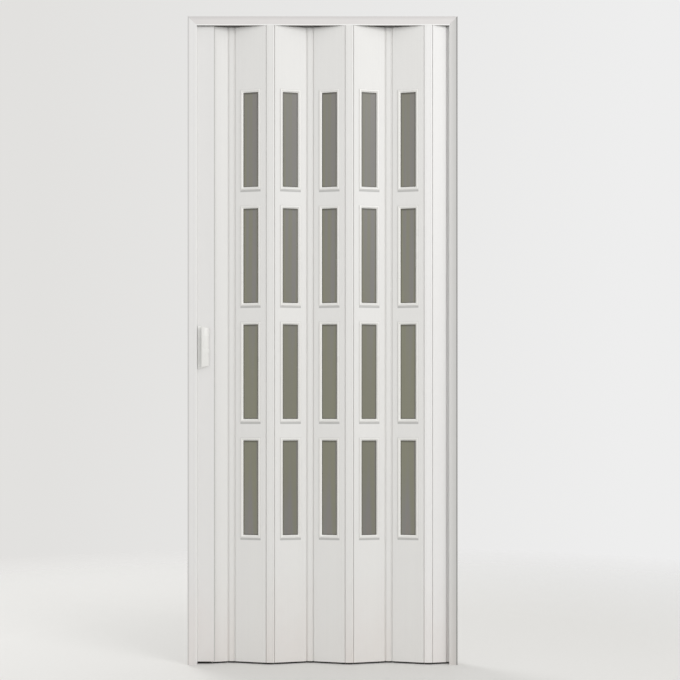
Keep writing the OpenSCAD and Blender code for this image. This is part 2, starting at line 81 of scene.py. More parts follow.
def line_between(start, end):
    """The middle of a leaf and its turn about the upright axis."""
    along = end - start
    return (start + end) / 2, atan2(along.y, along.x)


leaf_lines = {
    number: line_between(pivots[f"link_{number}_right_pivot"], pivots[f"link_{number + 1}_left_pivot"])
    for number in range(1, LEAVES + 1)
}
for number, (middle, turn) in leaf_lines.items():
    print(f"leaf {number}: middle {middle.x / MM:.1f} mm, turned {degrees(turn):.2f} degrees")

# %% [markdown]
# ## Camera
#
# The door is seen straight from the front, a little right of its middle and from the height of a chair's
# back. The upright edges stay parallel, so the camera is level, and the picture is moved up with a lens
# shift instead of a tilt. The distance and the lens go together: one pixel covers 3.16 mm in the plane of
# the frame's front.

# %% Place the camera
PICTURE = 680
PIXEL = 3.16 * MM
SENSOR = 36.0
CAMERA_AWAY = 4.0
CAMERA_HEIGHT = 0.81
CAMERA_RIGHT = 0.0553
HORIZON_ROW = 408.7


def placed(name, data):
    """A new object in the scene."""
    thing = bpy.data.objects.new(name, data)
    bpy.context.scene.collection.objects.link(thing)
    return thing


frame_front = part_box("strike_jamb")[0].y
camera_data = bpy.data.cameras.new("camera")
camera_data.sensor_width = SENSOR
camera_data.lens = SENSOR * CAMERA_AWAY / (PIXEL * PICTURE)
camera_data.shift_y = (HORIZON_ROW - PICTURE / 2) / PICTURE
camera = placed("camera", camera_data)
camera.location = (CAMERA_RIGHT, frame_front - CAMERA_AWAY, CAMERA_HEIGHT)
camera.rotation_euler = (pi / 2, 0, 0)
bpy.context.scene.camera = camera
bpy.context.scene.view_settings.view_transform = "Standard"
print("lens", round(camera_data.lens, 1), "mm, shift", round(camera_data.shift_y, 3))

# %% [markdown]
# ## A small language for finishes
#
# A finish is a sheet of nodes. Written out one by one, a few sums on a coordinate fill a page, so a wire
# from a socket is wrapped in a class that knows how to add and multiply. Then a mask reads like ordinary
# arithmetic, and each operator puts one Math node on the sheet. Every other node comes from one method,
# `add`.
#
# Two masks come up again and again, so they are methods too: one rises over a width, and the other is a
# strip about zero.

# %% Wires and sheets
class Wire:
    """A socket's output. Arithmetic on it adds Math nodes to its sheet."""

    def __init__(self, sheet, socket):
        self.sheet = sheet
        self.socket = socket

    def math(self, operation, *values):
        return self.sheet.add("ShaderNodeMath", {"operation": operation}, dict(enumerate(values)))

    def __add__(self, other):
        return self.math("ADD", self, other)

    def __radd__(self, other):
        return self.math("ADD", other, self)

    def __sub__(self, other):
        return self.math("SUBTRACT", self, other)

    def __rsub__(self, other):
        return self.math("SUBTRACT", other, self)

    def __mul__(self, other):
        return self.math("MULTIPLY", self, other)

    def __rmul__(self, other):
        return self.math("MULTIPLY", other, self)

    def __truediv__(self, other):
        return self.math("DIVIDE", self, other)

    def __mod__(self, other):
        return self.math("FLOORED_MODULO", self, other)

    def __abs__(self):
        return self.math("ABSOLUTE", self)

    def held(self):
        """The value, kept between 0 and 1."""
        return self.sheet.add("ShaderNodeClamp", {}, {"Value": self})

    def rise(self, width):
        """A mask that grows from 0 to 1 while the value grows from 0 to a width."""
        return (self / width).held()

    def near(self, half):
        """A mask that is 1 where the value is 0, and 0 from a half width away."""
        return (1.0 - abs(self) / half).held()


class Sheet:
    """The nodes of a material, or of the world."""

    def __init__(self, owner):
        owner.use_nodes = True
        self.tree = owner.node_tree
        self.tree.nodes.clear()

    def add(self, kind, settings, sockets, out=0):
        """Adds a node: its settings come first, then the value or the wire of each socket."""
        node = self.tree.nodes.new(kind)
        for name, value in settings.items():
            setattr(node, name, value)
        for name, value in sockets.items():
            if isinstance(value, Wire):
                self.tree.links.new(value.socket, node.inputs[name])
            else:
                node.inputs[name].default_value = value
        return Wire(self, node.outputs[out]) if node.outputs else None

    def mix(self, share, first, second):
        """A colour between two others."""
        return self.add("ShaderNodeMix", {"data_type": "RGBA"}, {0: share, 6: first, 7: second}, 2)

    def noise(self, place, stretch, detail=2.0):
        """Noise from 0 to 1, with so many patches to the metre along each axis."""
        spread = self.add("ShaderNodeVectorMath", {"operation": "MULTIPLY"}, {0: place, 1: stretch})
        return self.add("ShaderNodeTexNoise", {}, {"Vector": spread, "Scale": 1.0, "Detail": detail})

    def own_place(self, middle=(0, 0, 0), turn=0.0):
        """Coordinates measured from a piece's middle and along its own turned axes."""
        place = self.add("ShaderNodeTexCoord", {}, {}, "Object")
        sockets = {"Vector": place, "Location": tuple(middle), "Rotation": (0, 0, turn)}
        return self.add("ShaderNodeMapping", {"vector_type": "TEXTURE"}, sockets)

    def axes(self, place):
        """The three coordinates of a place, as separate wires."""
        return [self.add("ShaderNodeSeparateXYZ", {}, {"Vector": place}, name) for name in "XYZ"]

    def bump(self, height, distance):
        """A surface normal that follows a height, in metres at full height."""
        return self.add("ShaderNodeBump", {}, {"Height": height, "Distance": distance})

    def finish(self, **sockets):
        """The surface itself, from the sockets of Principled BSDF."""
        named = {name.replace("_", " "): value for name, value in sockets.items()}
        surface = self.add("ShaderNodeBsdfPrincipled", {}, named)
        self.add("ShaderNodeOutputMaterial", {}, {"Surface": surface})


def paint(red, green, blue):
    """A colour named by its screen values from 0 to 255, in the linear values that shaders use."""
    channels = [channel / 255 for channel in (red, green, blue)]
    linear = [c / 12.92 if c <= 0.04045 else ((c + 0.055) / 1.055) ** 2.4 for c in channels]
    return (*linear, 1.0)


def scaled(colour, level):
    """The same colour, lighter or darker."""
    return (*[channel * level for channel in colour[:3]], 1.0)


finishes = {}


def new_finish(name):
    """An empty sheet for a finish of that name."""
    finishes[name] = bpy.data.materials.new(name)
    return Sheet(finishes[name])


print("white plastic in linear values:", [round(c, 3) for c in paint(231, 230, 227)[:3]])

# %% [markdown]
# ## Embossed plastic of the leaves
#
# The leaves are hollow extrusions of white PVC with a wood grain rolled into them. Close up, the grain is
# short upright pores in wider soft bands. From across a room only the bands show, as faint upright streaks.
# Both are noise, drawn out along the height: the pores many times finer than the bands.
#
# Hollow plastic also sinks a little where a web meets the wall, so each leaf shows its webs as very faint
# upright lines. They are placed by the distance from the leaf's middle, which is why each leaf has its own
# finish. Near the floor the surface is slightly dulled by a warm film that is partly dust and partly a
# painted warm reflection from a floor. It is stronger on the leaves that face the lamp, where it is painted
# shade. A thin grey line of painted shade lies along the edges of the bezels, and a broader painted shadow
# lies under their lower edges.
#
# The thin line is a distance again. The larger of the distances beyond the side and beyond the end of a
# bezel is zero all round its outline, and the height is wrapped first, so that one sum serves the four
# windows.

# %% Grained plastic
GRAIN_DEEP = 0.12 * MM
SINK_HALF = 1.6 * MM
DUST_HEIGHT = 0.30
PVC_WHITE = paint(234, 233, 231)
# A warm tint near the floor, partly dust and partly a painted warm reflection from a floor.
DUST_AND_BOUNCE_TINT = paint(221, 203, 195)
# The leaves that face the lamp get more of the film, which paints shade at their foot.
DUST_AND_SHADE_SHARES = (0.4, 0.12)
JOINT_W = 1.4 * MM
UNDER_SET = 4.4 * MM
UNDER_HALF = 2.2 * MM
THIN_DARK = 0.5
UNDER_DARK = 0.64
LEAF_WEBS = [-39.8, -29.8, -46.5, 46.5, 29.8, 39.8]


def floor_dust_and_light(sheet, place, up):
    """How much dust and painted light lie near the floor, from 0 to 1."""
    return ((1.0 - up / DUST_HEIGHT) * sheet.noise(place, (14, 14, 9), 4.0)).held()


def from_window(up):
    """The height measured from the middle of the nearest window."""
    return (up + WINDOW_PITCH / 2) % WINDOW_PITCH - WINDOW_PITCH / 2


# The thin line along each bezel's outline and the broader band under its lower edge are painted shade. The
# band is the bezel's painted shadow.
def bezel_painted_shade(across, up):
    """How much painted shade lies round a leaf's bezels, from 0 to 1: a thin line on the outline and a
    painted shadow under the lower edge.
    """
    above_low = up - WINDOW_LOW
    rise = from_window(above_low)
    side = abs(across) - (WINDOW_W / 2 + BEZEL_W)
    end = abs(rise) - (WINDOW_H / 2 + BEZEL_W)
    thin = THIN_DARK * side.math("MAXIMUM", side, end).near(JOINT_W)
    below = -1.0 * rise - (WINDOW_H / 2 + BEZEL_W)
    under = (1.8 - abs(below - UNDER_SET) / UNDER_HALF).held() * (1.0 - side / JOINT_W).held()
    outline = thin.math("MAXIMUM", thin, UNDER_DARK * under)
    among_windows = (above_low + WINDOW_PITCH / 2).rise(1 * MM)
    below_last = ((WINDOWS - 0.5) * WINDOW_PITCH - above_low).rise(1 * MM)
    return outline * among_windows * below_last


def grained_plastic(name, colour, middle, turn, webs, dust_and_light_share=0.4, bezel_shade=0.0):
    """White PVC with a rolled wood grain, and faint lines where the inner webs are."""
    sheet = new_finish(name)
    place = sheet.own_place(middle, turn)
    across, _, up = sheet.axes(place)
    bands = sheet.noise(place, (150, 150, 1.6), 3.0)
    pores = ((sheet.noise(place, (1500, 1500, 38), 2.0) - 0.56) * 5.0).held()
    sinks = sum((across - web * MM).near(SINK_HALF) for web in webs)
    dust_and_light = floor_dust_and_light(sheet, place, up)
    shade = (0.35 + 0.5 * bands - 0.25 * pores - 0.18 * sinks).held()
    height = 0.5 * bands - 0.5 * pores - 0.35 * sinks
    clean = sheet.mix(shade, scaled(colour, 0.955), scaled(colour, 1.02))
    with_dust_and_light = sheet.mix(dust_and_light_share * dust_and_light, clean, DUST_AND_BOUNCE_TINT)
    sheet.finish(
        # Round the bezels the colour is darkened as painted shade.
        Base_Color=sheet.mix(bezel_shade * bezel_painted_shade(across, up), with_dust_and_light, scaled(colour, 0.45)),
        Roughness=0.40 + 0.10 * bands + 0.10 * pores + 0.18 * dust_and_light,
        Normal=sheet.bump(height, GRAIN_DEEP),
    )


for number, (middle, turn) in leaf_lines.items():
    # Leaves that face the lamp take the larger share, as painted shade near the floor.
    share = DUST_AND_SHADE_SHARES[number % 2]
    grained_plastic(f"leaf_grain_{number}", PVC_WHITE, (middle.x, middle.y, 0), turn, LEAF_WEBS, share, 1.0)
post_line, post_turn = line_between(pivots["post_pivot"], pivots["link_1_left_pivot"])
end_line, end_turn = line_between(pivots["link_6_right_pivot"], pivots["fixed_fold"])
half_leaves = {
    "closing": (PVC_WHITE, post_line, post_turn, [-22, 0, 22]),
    # The fixing half leaf is painted a little lighter than the closing one, as painted light from the lamp's
    # side.
    "fixing": (paint(237, 236, 235), end_line, end_turn, [-22, 0, 20]),
}
for name, (colour, middle, turn, webs) in half_leaves.items():
    grained_plastic(f"half_leaf_grain_{name}", colour, (middle.x, middle.y, 0), turn, webs)
print("grained finishes:", len(finishes))

# %% [markdown]
# ## Smooth extruded plastic
#
# The frame, the post and the hinge links come out of a die without a rolled grain. What remains on them are
# die lines: hair-thin streaks that run exactly along the profile. So the noise is drawn out along one axis
# until it no longer changes along it, and the axis differs between the uprights and the head track.
#
# The frame's profiles have shallow lines along them, a painted highlight along the inner edge, and a grey
# joint where the front of their outer edge meets the doorway. On the right jamb the joint is much darker,
# which is painted shade, and a broad painted shade darkens that jamb towards its outer edge. The head track
# has painted shade towards its top. Each is a strip at a set distance, with its half width and its strength,
# which is below zero where the strip is lighter. The joint shows only as far out as the front, so its strip
# also has the least distance from the middle of the frame's depth. A patch is a strip of limited height: a
# faint grey one on the post, beside the handles, is painted shade.

# %% Extruded plastic
DIE_LINE_DEEP = 0.03 * MM
UPRIGHT = (900, 900, 0.35)
LYING = (0.35, 900, 900)
# The painted highlights on the frame's inner edges are mixed towards this white.
PAINTED_HIGHLIGHT = paint(254, 254, 253)
ALL_OVER = -1 * MM
OUTER_EDGE = 21.5 * MM


def extruded_plastic(name, colour, stretch, strips=(), axis=0, shade_patches=()):
    """Satin PVC with die lines along the profile, strips at set places along an axis, and patches of painted
    shade.
    """
    sheet = new_finish(name)
    place = sheet.own_place()
    coordinates = sheet.axes(place)
    across, deep, up = coordinates
    # The tone sums the strips and patches: above zero it paints shade, below zero it paints highlights.
    tone = 0.0 * deep
    for at, half, strength, least_deep in strips:
        strip = strength * (coordinates[axis] - at).near(half)
        tone = tone + strip * (abs(deep) - least_deep).rise(0.5 * MM)
    for at, half, strength, middle, reach in shade_patches:
        shade_patch = (across - at).near(half) * (reach - abs(up - middle)).rise(2.5 * MM)
        tone = tone + strength * shade_patch
    lines = sheet.noise(place, stretch, 2.0)
    clouds = sheet.noise(place, (5, 5, 1.5), 2.0)
    # Near the floor the film is partly dust and partly a painted warm reflection.
    dust_and_light = floor_dust_and_light(sheet, place, up)
    shade = (0.2 + 0.35 * lines + 0.35 * clouds).held()
    clean = sheet.mix(shade, scaled(colour, 0.965), scaled(colour, 1.02))
    darker = sheet.mix(tone.held(), sheet.mix(0.4 * dust_and_light, clean, DUST_AND_BOUNCE_TINT), scaled(colour, 0.3))
    sheet.finish(
        Base_Color=sheet.mix((-1.0 * tone).held(), darker, PAINTED_HIGHLIGHT),
        Roughness=0.38 + 0.08 * clouds + 0.18 * dust_and_light,
        Normal=sheet.bump(lines, DIE_LINE_DEEP),
    )


frame_low, frame_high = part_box("strike_jamb")[0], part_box("fixing_jamb")[1]
strike_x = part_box("strike_jamb")[1].x
fixing_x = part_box("fixing_jamb")[0].x
track_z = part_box("head_track")[0].z
# Strike jamb: a joint at the outer edge, two shallow lines, and a painted highlight on the inner edge.
strike_strips = [
    (frame_low.x + 2.2 * MM, 3 * MM, 0.5, OUTER_EDGE), (frame_low.x + 7 * MM, 2 * MM, 0.04, ALL_OVER),
    (frame_low.x + 19 * MM, 2 * MM, 0.04, ALL_OVER), (strike_x - 1 * MM, 3 * MM, -0.4, ALL_OVER),
]
# Fixing jamb: a joint at the outer edge darkened further as painted shade, a broad painted shade towards
# that edge, and a painted highlight on the inner edge.
fixing_strips = [
    (frame_high.x, 4.2 * MM, 1.6, OUTER_EDGE), (frame_high.x - 1.5 * MM, 18 * MM, 0.2, ALL_OVER),
    (fixing_x + 1 * MM, 2.5 * MM, -0.3, ALL_OVER),
]
# Head track: painted shade towards its top and a painted highlight along its lower edge.
track_strips = [(frame_high.z - 2 * MM, 9 * MM, 0.17, ALL_OVER), (track_z + 1 * MM, 3 * MM, -0.9, ALL_OVER)]
grip_low, grip_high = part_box("handle_front")
# A faint grey patch on the post beside the handles is painted shade.
handle_side_shade = (grip_high.x + 1 * MM, 6 * MM, 0.13, (grip_low.z + grip_high.z) / 2, 60 * MM)
extruded_plastic("post_plastic", paint(235, 234, 233), UPRIGHT, shade_patches=[handle_side_shade])
extruded_plastic("link_plastic", PVC_WHITE, UPRIGHT)
# The last link's copy is painted lighter, as painted light from the lamp's side.
extruded_plastic("link_plastic_painted_light", paint(241, 240, 239), UPRIGHT)
# The fixing strip is painted lighter, to lift the shade in its recess beside the fixing jamb.
extruded_plastic("strip_plastic", paint(250, 250, 249), UPRIGHT)
extruded_plastic("jamb_plastic", paint(232, 231, 230), UPRIGHT, strike_strips)
# The fixing jamb is a darker copy of the frame's white, painted shade on the jamb that faces away from the
# lamp.
extruded_plastic("jamb_plastic_painted_shade", paint(219, 218, 216), UPRIGHT, fixing_strips)
# The head track's tone is a little darker, partly as painted shade on its downward face.
extruded_plastic("track_plastic", paint(229, 226, 225), LYING, track_strips, 2)
print("finishes so far:", ", ".join(sorted(finishes)))

# %% [markdown]
# ## Moulded plastic
#
# The bezels round the windows and the two handles are injection moulded. They are glossier than the leaves,
# with no direction in their surface, only a faint unevenness that softens the highlights. A bezel's inner
# lip is painted whiter than its flat rim, as a painted highlight, and a handle's base is painted whiter
# under the hood, as painted light that lifts the shade there.
#
# Both are masks on a distance: from the glass for the lip, and from the middle of the door's depth for the
# base.

# %% Moulded plastic
BEZEL_RIM = paint(237, 236, 233)
BEZEL_LIP_HIGHLIGHT = paint(253, 252, 249)
LIP_HALF = 3.2 * MM
HANDLE_CREAM = paint(235, 234, 231)
HANDLE_PAINTED_LIGHT = paint(253, 253, 251)
HANDLE_DEEP = 9.5 * MM
HANDLE_OPEN = 7 * MM


def moulded_plastic(sheet, place, colour, light_colour, light, roughness):
    """Glossy moulded plastic with a faint unevenness, polished patches and a part painted lighter."""
    uneven = sheet.noise(place, (70, 70, 70), 3.0)
    patches = sheet.noise(place, (18, 18, 18), 2.0)
    worn = sheet.mix(patches, scaled(colour, 0.985), scaled(colour, 1.01))
    sheet.finish(
        Base_Color=sheet.mix(light, worn, light_colour),
        Roughness=roughness + 0.16 * patches,
        Normal=sheet.bump(uneven, 0.05 * MM),
        Coat_Weight=0.25,
        Coat_Roughness=0.2,
    )


def bezel_plastic(name, middle, turn):
    """A bezel's plastic, with a painted highlight on the lip beside the glass."""
    sheet = new_finish(name)
    place = sheet.own_place((middle.x, middle.y, WINDOW_LOW), turn)
    across, _, up = sheet.axes(place)
    beside = abs(across) - WINDOW_W / 2
    beyond = abs(from_window(up)) - WINDOW_H / 2
    # The lip beside the glass is painted whiter, as a painted highlight.
    lip = (1.5 - beside.math("MAXIMUM", beside, beyond) / LIP_HALF).held()
    moulded_plastic(sheet, place, BEZEL_RIM, BEZEL_LIP_HIGHLIGHT, lip, 0.22)


def handle_plastic(name):
    """The handles' plastic, with painted light on the base under the hood."""
    sheet = new_finish(name)
    place = sheet.own_place()
    across, deep, _ = sheet.axes(place)
    # The base under the hood is painted whiter, as painted light that lifts the shade there, most where the
    # hood covers it.
    inside = (HANDLE_DEEP - abs(deep)).rise(2 / 3 * MM)
    covered = 0.35 + 0.65 * (across - grip_low.x).rise(HANDLE_OPEN)
    moulded_plastic(sheet, place, HANDLE_CREAM, HANDLE_PAINTED_LIGHT, inside * covered, 0.20)


for number, (middle, turn) in leaf_lines.items():
    bezel_plastic(f"bezel_plastic_{number}", middle, turn)
handle_plastic("handle_plastic")
print("moulded finishes:", LEAVES + 1)

# %% [markdown]
# ## Smoked panes
#
# The panes are translucent smoked acrylic. They read as a warm grey with soft upright streaks, olive in one
# place and brownish in another, and they darken towards their edges, where the bezel shades them: the border
# is painted shade. The streaks are noise drawn out along the height. The dark border needs the distance to
# the nearest edge: across the leaf that is a plain coordinate, and along the height the coordinate is first
# wrapped, so that the four windows of a leaf share one sum. The border is broader at the top, where it
# paints the shadow of the bezel's top lip. The panes of the leaves that face away from the lamp are painted
# lighter, as painted light, so that they darken less than their plastic.

# %% Smoked acrylic
PANE_OLIVE = paint(127, 126, 110)
PANE_GREY = paint(126, 124, 121)
PANE_BROWN = paint(132, 125, 116)
BORDER_W = 4.0 * MM
TOP_BORDER = 4.5 * MM
PANE_PAINTED_LIGHT = (0.97, 1.15)


def smoked_acrylic(name, middle, turn, tone):
    """Warm grey acrylic with upright streaks and a border of painted shade in each window; the tone is
    painted light.
    """
    sheet = new_finish(name)
    place = sheet.own_place((middle.x, middle.y, WINDOW_LOW), turn)
    across, _, up = sheet.axes(place)
    wide = sheet.noise(place, (34, 34, 0.9), 1.5)
    fine = sheet.noise(place, (420, 420, 3.5), 2.0)
    from_side = WINDOW_W / 2 - abs(across)
    from_end = WINDOW_H / 2 - abs(from_window(up))
    # The rim and the broader top are painted shade from the bezel.
    rim = (1.0 - from_side.math("MINIMUM", from_side, from_end) / BORDER_W).held()
    top = (1.6 - (WINDOW_H / 2 - from_window(up)) / TOP_BORDER).held()
    warm = sheet.mix(((wide - 0.45) * 9.0).held(), scaled(PANE_OLIVE, tone), scaled(PANE_GREY, tone))
    streaked = sheet.mix(((wide - 0.56) * 9.0).held(), warm, scaled(PANE_BROWN, tone))
    lively = sheet.mix(0.13 * fine, streaked, scaled(PANE_GREY, 0.55))
    sheet.finish(
        Base_Color=sheet.mix(0.62 * rim.math("MAXIMUM", rim, top), lively, scaled(PANE_OLIVE, 0.25)),
        Roughness=0.30 + 0.15 * fine,
        Normal=sheet.bump(wide + 0.3 * fine, 0.15 * MM),
        IOR=1.45,
    )


# The panes of the leaves that face away from the lamp are painted lighter, as painted light.
for number, (middle, turn) in leaf_lines.items():
    smoked_acrylic(f"pane_smoke_{number}", middle, turn, PANE_PAINTED_LIGHT[number % 2])
print("pane finishes:", sum(name.startswith("pane") for name in finishes))

# %% [markdown]
# ## Small materials
#
# The gliders in the track are natural nylon, which is milky and matt, and the hangers are grey nylon.
# Brackets, keeper and screws are zinc plated steel: its crystals show as patches that shine differently.
# The magnet strip is a brown rubbery band, and the thin seal round each pane is dark soft PVC. The brushes
# that close the gap below the door are nearly black, and their black also stands for the shade under the
# door, as painted shade. The felt in the track is grey, and the soft lips are white or grey; the grey of the
# felt and of the grey lip partly stands for the shade in their gaps, as painted shade.

# %% Nylon, zinc, magnet and seal
def matt_compound(name, colour, roughness, patch):
    """A plain compound with fine specks, so many to the metre."""
    sheet = new_finish(name)
    specks = sheet.noise(sheet.own_place(), (patch, patch, patch), 3.0)
    sheet.finish(
        Base_Color=sheet.mix(specks, scaled(colour, 0.9), scaled(colour, 1.05)),
        Roughness=roughness + 0.12 * specks,
        Normal=sheet.bump(specks, 0.04 * MM),
    )


def zinc_plate(name):
    """Zinc plated steel, whose crystals differ a little in tone and shine."""
    sheet = new_finish(name)
    place = sheet.own_place()
    crystals = sheet.add("ShaderNodeTexVoronoi", {}, {"Vector": place, "Scale": 260.0}, "Color")
    tone = sheet.add("ShaderNodeSeparateColor", {}, {"Color": crystals})
    worn = sheet.noise(place, (30, 30, 30), 3.0)
    sheet.finish(
        Base_Color=sheet.mix(0.6 * tone + 0.4 * worn, paint(168, 170, 174), paint(198, 200, 203)),
        Metallic=0.9 - 0.15 * worn,
        Roughness=0.30 + 0.18 * tone,
    )


matt_compound("nylon", paint(220, 219, 212), 0.5, 600)
matt_compound("nylon_grey", paint(98, 96, 92), 0.5, 600)
matt_compound("magnet_rubber", paint(62, 56, 50), 0.6, 1500)
matt_compound("seal_rubber", paint(66, 64, 58), 0.5, 900)
# Nearly black, which also stands for the shade under the door, as painted shade.
matt_compound("brush_black_and_shade", paint(34, 30, 27), 0.8, 2200)
matt_compound("lip_white", paint(240, 239, 237), 0.45, 700)
# Its grey partly stands for the shade at the edge of the post's cover, as painted shade.
matt_compound("lip_grey_and_shade", paint(194, 193, 190), 0.5, 700)
# Its grey partly stands for the shade in the mouth of the track, as painted shade.
matt_compound("felt_grey_and_shade", paint(122, 119, 114), 0.8, 1800)
zinc_plate("zinc")
print("all finishes:", len(finishes))

# %% [markdown]
# ## Handing out the finishes
#
# Each part of the working door gets its finish by name. A part keeps its mesh, so only the material in its
# slots is exchanged.

# %% Dress the parts
def dress(node, finish):
    """Gives a part of the working door its finish."""
    for slot in frame["nodes"][node].material_slots:
        slot.material = finishes[finish]


wardrobe = {
    "head_track": "track_plastic", "strike_jamb": "jamb_plastic", "fixing_jamb": "jamb_plastic_painted_shade",
    "fixing_strip": "strip_plastic", "keeper_strip": "zinc", "corner_bracket_left": "zinc",
    "corner_bracket_right": "zinc", "closing_post": "post_plastic", "post_hanger": "nylon_grey",
    "magnet_strip": "magnet_rubber", "handle_front": "handle_plastic", "handle_rear": "handle_plastic",
    "handle_screws": "zinc", "half_leaf_closing": "half_leaf_grain_closing",
    "half_leaf_fixing": "half_leaf_grain_fixing", "runway_front": "zinc", "runway_rear": "zinc",
}
for number in range(1, LEAVES + 2):
    wardrobe[f"link_{number}"] = "link_plastic"
# The last link gets the copy that is painted lighter.
wardrobe[f"link_{LEAVES + 1}"] = "link_plastic_painted_light"
for number in range(1, LEAVES + 1):
    wardrobe[f"leaf_{number}_shell"] = f"leaf_grain_{number}"
    wardrobe[f"leaf_{number}_bezels_front"] = f"bezel_plastic_{number}"
    wardrobe[f"leaf_{number}_bezels_rear"] = f"bezel_plastic_{number}"
    wardrobe[f"leaf_{number}_panes"] = f"pane_smoke_{number}"
    wardrobe[f"leaf_{number}_hanger"] = "nylon_grey"
    wardrobe[f"glider_{number}"] = "nylon"
for node, finish in wardrobe.items():
    dress(node, finish)
print("undressed parts:", sorted(set(frame["nodes"]) - set(wardrobe)))

# %% [markdown]
# ## From a form to a piece
#
# New pieces are shaped as a `bmesh`, which is called a form here. One helper turns a form into an object
# that rides on a body of the door: it makes the faces point outwards, shades them smoothly except across
# sharp edges, and gives the finish.

# %% Make a piece from a form
SHARP = 0.6


def mesh_of(name, form):
    """The mesh of a form, which is used up."""
    mesh = bpy.data.meshes.new(name)
    form.to_mesh(mesh)
    form.free()
    return mesh


def verts_of(geometry):
    """The vertices in what an operator made."""
    return [item for item in geometry if isinstance(item, bmesh.types.BMVert)]


def new_piece(name, form, finish, body):
    """Turns a form into an object that moves with a body of the door."""
    bmesh.ops.recalc_face_normals(form, faces=form.faces)
    for face in form.faces:
        face.smooth = True
    for edge in form.edges:
        edge.smooth = edge.calc_face_angle(0.0) < SHARP
    mesh = mesh_of(name, form)
    mesh.materials.append(finishes[finish])
    piece = placed(name, mesh)
    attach(piece, body)
    print(name, len(mesh.polygons), "faces")
    return piece


def add_box(form, low, high):
    """A block between two corners, in a form that may hold others."""
    low, high = Vector(low), Vector(high)
    made = bmesh.ops.create_cube(form, size=1.0)["verts"]
    bmesh.ops.scale(form, vec=high - low, verts=made)
    bmesh.ops.translate(form, vec=(low + high) / 2, verts=made)


def round_edges(form, edges, radius, steps=3):
    """Rounds edges to a radius."""
    bmesh.ops.bevel(
        form, geom=edges, offset=radius, segments=steps, affect="EDGES", profile=0.5, material=-1)


def long_edges(form, axis, least):
    """The edges that run further than a length along an axis: 0, 1 or 2."""
    return [edge for edge in form.edges if abs(edge.verts[0].co[axis] - edge.verts[1].co[axis]) > least]


print("a sharp edge turns by more than", round(degrees(SHARP)), "degrees")

# %% [markdown]
# ## Handles
#
# A handle is one moulding: a flat base, and a hood that rises from the base's far edge and arches over a
# finger gap, with its lip towards the closing edge. Its ends are cut at a slant, so the far side is
# shorter. A block with a rounded top can't give the thin lip, so the hood is made as a sheet and then given
# its wall.
#
# An upright edge at the lip is spun about the hood's axis, which gives the arch. Two slanted planes cut its
# ends, the cut edges and the arch's far edge are drawn down to the base as walls, and the corners between
# them are rounded. The wall comes last, on the inside. All of it is shaped lying in its own axes: across
# from the closing edge, out from the post, up.

# %% Shape a handle
HANDLE_H = 138 * MM
HANDLE_W = 36 * MM
HANDLE_RISE = 16 * MM
HANDLE_WALL = 2.5 * MM
HANDLE_BASE = 1.5 * MM
LIP_SET = 14 * MM
HOOD_SLANT = 10 * MM
HOOD_FAR = 8 * MM
HOOD_STEPS = 10
HOOD_ROUND = 1.8 * MM
HOOD_CORNER = 0.7
PLATE_ROUND = 2.2 * MM
RIM_ROUND = 0.4 * MM
SCREW_SET = 7 * MM
SCREW_PITCH = 100 * MM


def cut_ends(form):
    """Cuts both ends at a slant, and returns the edges of the cuts."""
    cut = []
    for end in (1, -1):
        geometry = form.verts[:] + form.edges[:] + form.faces[:]
        made = bmesh.ops.bisect_plane(
            form, geom=geometry, plane_co=(0, 0, end * HANDLE_H / 2),
            plane_no=(HOOD_SLANT, 0, end * HANDLE_W), clear_outer=True)
        cut += [item for item in made["geom_cut"] if isinstance(item, bmesh.types.BMEdge)]
    return cut


def hood_form():
    """The arched hood with its end walls."""
    form = bmesh.new()
    across = HANDLE_W - LIP_SET
    up = HANDLE_RISE - HOOD_FAR
    radius = (across ** 2 + up ** 2) / (2 * up)
    ends = [form.verts.new((LIP_SET, HANDLE_RISE, side * HANDLE_H / 2)) for side in (1, -1)]
    edge = form.edges.new(ends)
    bmesh.ops.spin(
        form, geom=[*ends, edge], cent=(LIP_SET, HANDLE_RISE - radius, 0), axis=(0, 0, -1),
        angle=asin(across / radius), steps=HOOD_STEPS)
    cut = cut_ends(form)
    far = [edge for edge in form.edges if min(vert.co.x for vert in edge.verts) > HANDLE_W - 0.1 * MM]
    for vert in verts_of(bmesh.ops.extrude_edge_only(form, edges=cut + far)["geom"]):
        vert.co.y = HANDLE_BASE
    bmesh.ops.remove_doubles(form, verts=form.verts, dist=0.01 * MM)
    corners = [
        edge for edge in form.edges
        if len(edge.link_faces) == 2 and edge.calc_face_angle() > HOOD_CORNER
    ]
    round_edges(form, corners, HOOD_ROUND, 5)
    bmesh.ops.recalc_face_normals(form, faces=form.faces)
    return form


trial = hood_form()
hood_width = max(vert.co.x for vert in trial.verts)
print(f"hood sheet: {len(trial.faces)} faces, {hood_width / MM:.1f} mm wide")
trial.free()

# %% [markdown]
# The wall is added with the Solidify modifier, because it keeps an even thickness round the corners. The
# modifier is applied at once, and the base plate joins the same form, so that the handle ends as one piece.

# %% Build both handles
def with_modifier(form, kind, **settings):
    """The form after one modifier."""
    mesh = mesh_of("trial", form)
    holder = placed("trial", mesh)
    modifier = holder.modifiers.new(kind, kind)
    for name, value in settings.items():
        setattr(modifier, name, value)
    shaped = bmesh.new()
    shaped.from_object(holder, bpy.context.evaluated_depsgraph_get())
    bpy.data.objects.remove(holder)
    bpy.data.meshes.remove(mesh)
    return shaped


